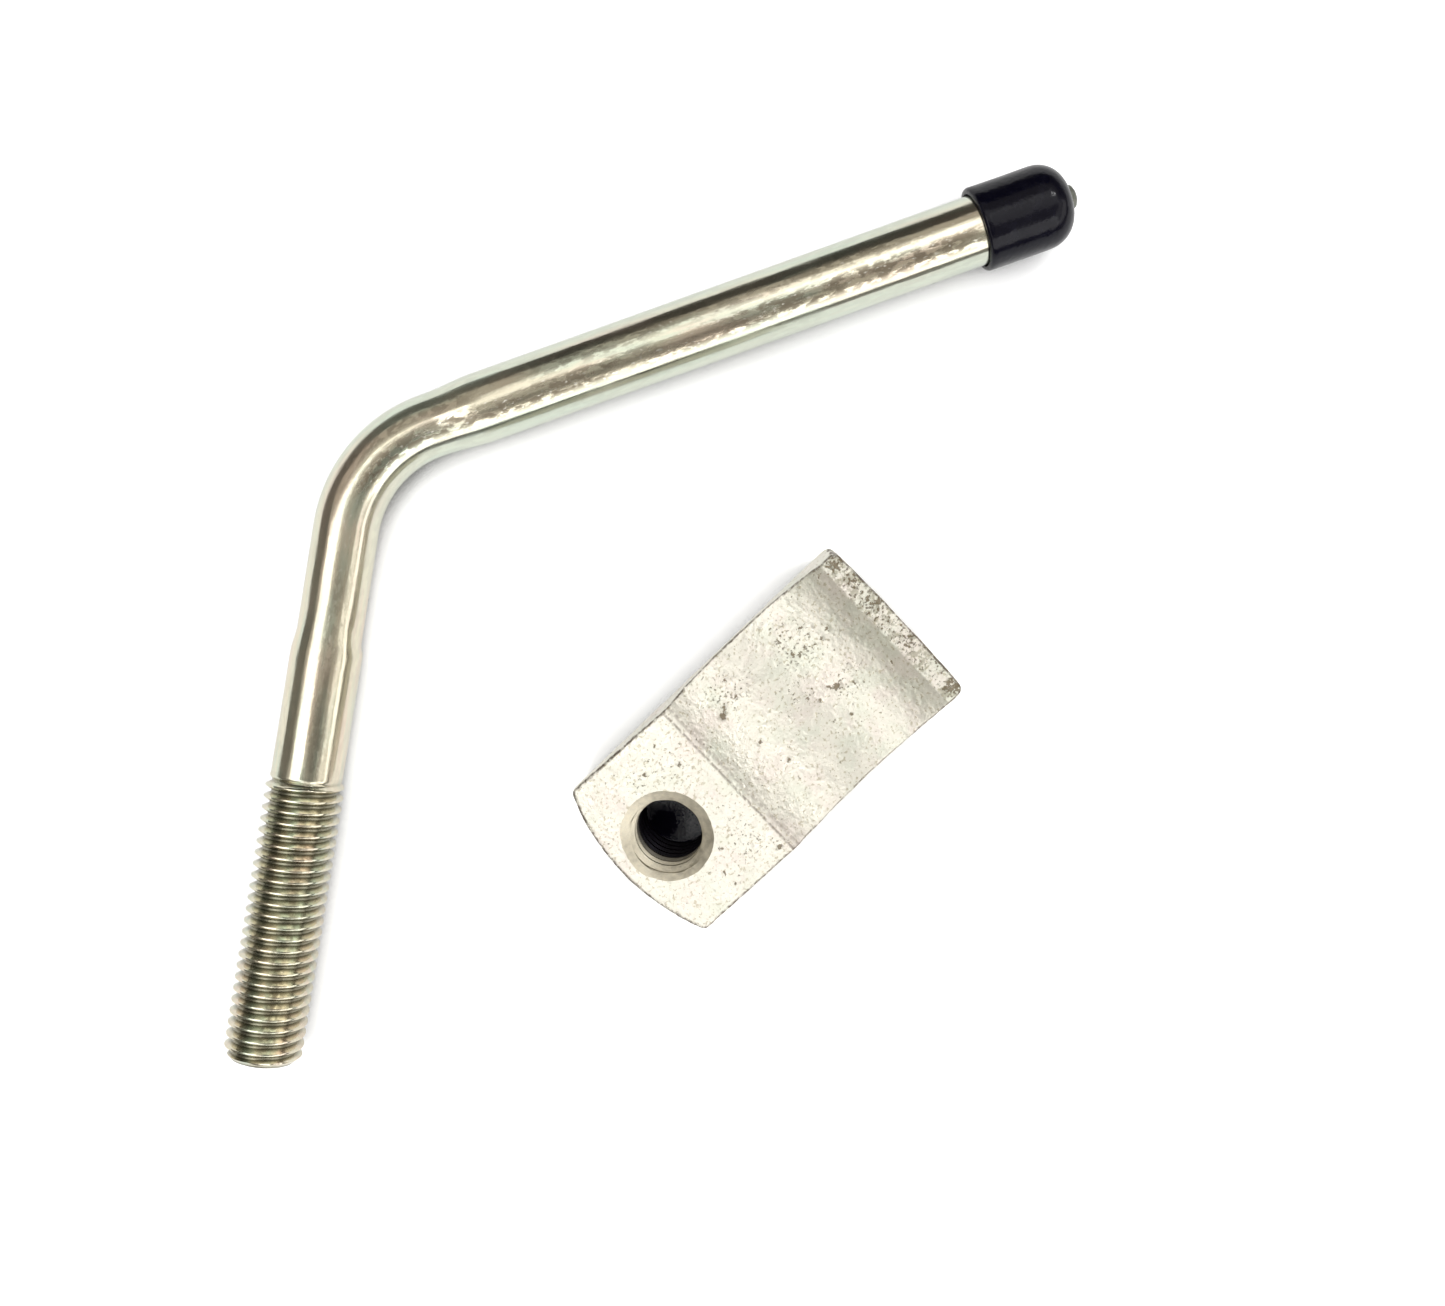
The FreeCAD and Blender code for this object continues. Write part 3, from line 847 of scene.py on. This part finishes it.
def makePad(size):
    bm = castingCopy(size)
    bm = applied(bm, "remeshed", "REMESH", mode="VOXEL", voxel_size=size["voxel"])
    bm = roughenCasting(bm, size)
    drill = makeDrill(size)
    bm = applied(bm, "drilled", "BOOLEAN", operation="DIFFERENCE", solver="EXACT", object=drill)
    bpy.data.objects.remove(drill)
    markCutFaces(bm, size)
    bmesh.ops.transform(bm, matrix=Matrix.Scale(metre, 4), verts=bm.verts)
    piece = finishPiece("clampPad", bm, castZinc, "pad", "clamp_pad", 27)
    piece.data.materials.append(cutZinc)
    sharpenSeam(piece.data)


makePad(padSize)


# Table: white, a little brighter to the eye and in reflections, with the shadows kept
tableLook = {
    "colour": (0.9, 0.9, 0.895), "glow": 0.8, "glowInMetal": 0.4, "radius": 2.5, "drop": 0.00002,
    "shadowReach": 0.011, "shadowFloor": 0.35, "brightSide": (0.367, 0.673, 0.643),
    "dark": (0.006, 0.005, 0.012), "darkReach": 0.04, "darkBelow": 0.28, "litAbove": 0.42,
}


def makeTable(look):
    material = bpy.data.materials.new("whiteTable")
    material.use_nodes = True
    tree = material.node_tree
    tree.nodes.clear()
    out = addNode(tree, "ShaderNodeOutputMaterial")
    paint = addNode(tree, "ShaderNodeBsdfDiffuse")
    glow = addNode(tree, "ShaderNodeEmission", {}, {"Color": (1, 1, 1, 1)})
    both = addNode(tree, "ShaderNodeAddShader")
    rays = addNode(tree, "ShaderNodeLightPath")
    # shadows fall away from the bright side; the half of the rays that pass below the table is left out
    side = addNode(tree, "ShaderNodeCombineXYZ")
    for socket, value in zip(side.inputs, look["brightSide"]):
        socket.default_value = value
    seen = addNode(tree, "ShaderNodeAmbientOcclusion", {"samples": 8}, {"Distance": look["shadowReach"]})
    join(tree, side.outputs[0], seen.inputs["Normal"])
    openness = addNode(tree, "ShaderNodeMapRange", {},
                       {"From Min": 0.5 - 0.5 * look["brightSide"][2], "To Min": look["shadowFloor"]})
    join(tree, seen.outputs["AO"], openness.inputs["Value"])
    # places closed in all round, such as the floor of a deep hole, go dark
    closed = addNode(tree, "ShaderNodeAmbientOcclusion", {"samples": 4},
                     {"Distance": look["darkReach"]})
    lit = addNode(tree, "ShaderNodeMapRange", {"interpolation_type": "SMOOTHSTEP"},
                  {"From Min": look["darkBelow"], "From Max": look["litAbove"]})
    join(tree, closed.outputs["AO"], lit.inputs["Value"])
    dark = addNode(tree, "ShaderNodeRGB")
    dark.outputs[0].default_value = (*look["dark"], 1)
    paintColour = toned(tree, dark.outputs[0], lit.outputs["Result"], look["colour"])
    join(tree, paintColour, paint.inputs["Color"])
    amount = weighted(tree, [(rays.outputs["Is Camera Ray"], look["glow"]),
                             (rays.outputs["Is Transmission Ray"], look["glow"]),
                             (rays.outputs["Is Glossy Ray"], look["glowInMetal"])])
    shown = multiplied(tree, openness.outputs["Result"], lit.outputs["Result"])
    join(tree, multiplied(tree, amount, shown), glow.inputs["Strength"])
    join(tree, paint.outputs[0], both.inputs[0])
    join(tree, glow.outputs[0], both.inputs[1])
    join(tree, both.outputs[0], out.inputs["Surface"])
    bm = bmesh.new()
    bmesh.ops.create_circle(bm, cap_ends=True, segments=96, radius=look["radius"])
    bmesh.ops.translate(bm, verts=bm.verts, vec=(0, 0, -look["drop"]))
    mesh = bpy.data.meshes.new("table")
    bm.to_mesh(mesh)
    bm.free()
    mesh.materials.append(material)
    table = bpy.data.objects.new("table", mesh)
    bpy.context.scene.collection.objects.link(table)


makeTable(tableLook)


# Studio: white surroundings, soft boxes, and dark cards that only the metal sees
studioLook = {"sky": 1.0, "skyOnObject": 0.26, "skyInMetal": 0.5, "metalTint": (1, 0.94, 0.84)}


def setWorld(look):
    world = bpy.data.worlds.new("studio")
    bpy.context.scene.world = world
    world.use_nodes = True
    tree = world.node_tree
    sky = tree.nodes["Background"]
    rays = addNode(tree, "ShaderNodeLightPath")
    lit = addNode(tree, "ShaderNodeMapRange", {}, {"To Min": look["sky"], "To Max": look["skyOnObject"]})
    join(tree, rays.outputs["Is Diffuse Ray"], lit.inputs["Value"])
    join(tree, lit.outputs["Result"], sky.inputs["Strength"])
    tint = addNode(tree, "ShaderNodeMix", {"data_type": "RGBA"}, {"A": (1, 1, 1, 1)})
    tint.inputs["B"].default_value = tuple(look["skyInMetal"] * c for c in look["metalTint"]) + (1,)
    join(tree, rays.outputs["Is Glossy Ray"], tint.inputs["Factor"])
    join(tree, tint.outputs["Result"], sky.inputs["Color"])


def toward(angleFromTop, direction, distance):
    # direction is degrees in the picture: 0 to its right, 90 to its top
    flat = math.radians(direction + cameraPlace["pictureTurn"])
    tilt = math.radians(angleFromTop)
    out = math.sin(tilt)
    return Vector((out * math.cos(flat), out * math.sin(flat), math.cos(tilt))) * distance


lightDistance = 0.8
lightTarget = Vector((0, 0.02, 0))
softBoxes = {
    "leftWindow": {"fromTop": 30.5, "direction": 187, "size": (0.44, 0.46), "power": 1.8},
    "cornerWindow": {"fromTop": 31, "direction": 235, "size": (0.5, 0.46), "power": 1.05},
    "lowerWindow": {"fromTop": 56.5, "direction": -70, "size": (1.0, 0.46), "power": 1.7},
    "rightGlow": {"fromTop": 50, "direction": -9, "size": (0.7, 0.22), "power": 0.8},
    "rightStrip": {"fromTop": 69, "direction": -9, "size": (0.8, 0.22), "power": 1.3},
    "topGlow": {"fromTop": 20.5, "direction": 96, "size": (0.38, 0.44), "power": 0.95},
    "farWindow": {"fromTop": 30, "direction": 40, "size": (0.5, 0.5), "power": 1.0},
    "pinLight": {"fromTop": 39.2, "direction": 48.3, "size": (0.05, 0.035), "power": 60},
}
# dark cards over the table beside the lens: corners to its right and up, height and tone
overheadCards = {
    "upperCard": {"tone": 0.66, "corners": ((-0.045, 0.028), (0.10, 0.028), (0.10, -0.022), (-0.045, -0.055))},
    "lowerCard": {"tone": 0.38, "corners": ((-0.045, -0.055), (0.10, -0.022), (0.085, -0.13), (-0.035, -0.13))},
}
overheadHeight = 0.236
# low cards round the table: direction, height and tone
ringRadius = 0.95
ringCards = ((90, 0.62, 0.12), (45, 0.50, 0.3), (0, 0.16, 0.3), (-45, 0.20, 0.3), (-90, 0.28, 0.22),
             (-135, 0.5, 0.34), (180, 0.62, 0.36), (135, 0.54, 0.3))


def aimed(place, target):
    back = (place - target).normalized()
    side = Vector((0, 0, 1)).cross(back).normalized()
    return Matrix.Translation(place) @ Matrix((side, back.cross(side), back)).transposed().to_4x4()


def addSoftBox(name, box):
    light = bpy.data.lights.new(name, "AREA")
    light.shape = "RECTANGLE"
    light.size, light.size_y = box["size"]
    # power is a radiance, so it is taken times the area
    light.energy = box["power"] * box["size"][0] * box["size"][1] * math.pi
    lamp = bpy.data.objects.new(name, light)
    lamp.matrix_world = aimed(toward(box["fromTop"], box["direction"], lightDistance), lightTarget)
    lamp.visible_camera = False
    bpy.context.scene.collection.objects.link(lamp)


cardTint = (1, 0.96, 0.88)


def cardMaterial(tone):
    material, tree, shader = newMaterial("card")
    shader.inputs["Base Color"].default_value = tuple(tone * c for c in cardTint) + (1,)
    shader.inputs["Roughness"].default_value = 0.9
    shader.inputs["Specular IOR Level"].default_value = 0.0
    return material


def addCard(name, tone, corners):
    bm = bmesh.new()
    bm.faces.new([bm.verts.new(c) for c in corners])
    mesh = bpy.data.meshes.new(name)
    bm.to_mesh(mesh)
    bm.free()
    mesh.materials.append(cardMaterial(tone))
    card = bpy.data.objects.new(name, mesh)
    card.visible_camera = False
    bpy.context.scene.collection.objects.link(card)


def inPicture(right, up, height):
    # a place beside the lens, to the picture's right and top
    turn = math.radians(cameraPlace["pictureTurn"])
    here = Vector(cameraPlace["at"]) * metre
    return Vector((here.x + right * math.cos(turn) - up * math.sin(turn),
                   here.y + right * math.sin(turn) + up * math.cos(turn), height))


def buildStudio():
    setWorld(studioLook)
    for name, box in softBoxes.items():
        addSoftBox(name, box)
    for name, card in overheadCards.items():
        addCard(name, card["tone"], [inPicture(right, up, overheadHeight) for right, up in card["corners"]])
    halfSpan = 180 / len(ringCards)
    for direction, tall, tone in ringCards:
        foot = [(ringRadius * math.cos(a), ringRadius * math.sin(a))
                for a in (math.radians(direction - halfSpan), math.radians(direction + halfSpan))]
        corners = [inPicture(*foot[0], 0), inPicture(*foot[1], 0),
                   inPicture(*foot[1], tall), inPicture(*foot[0], tall)]
        addCard("ringCard" + str(direction % 360), tone, corners)


buildStudio()
bpy.context.scene.view_settings.view_transform = "Standard"
print("studio set")
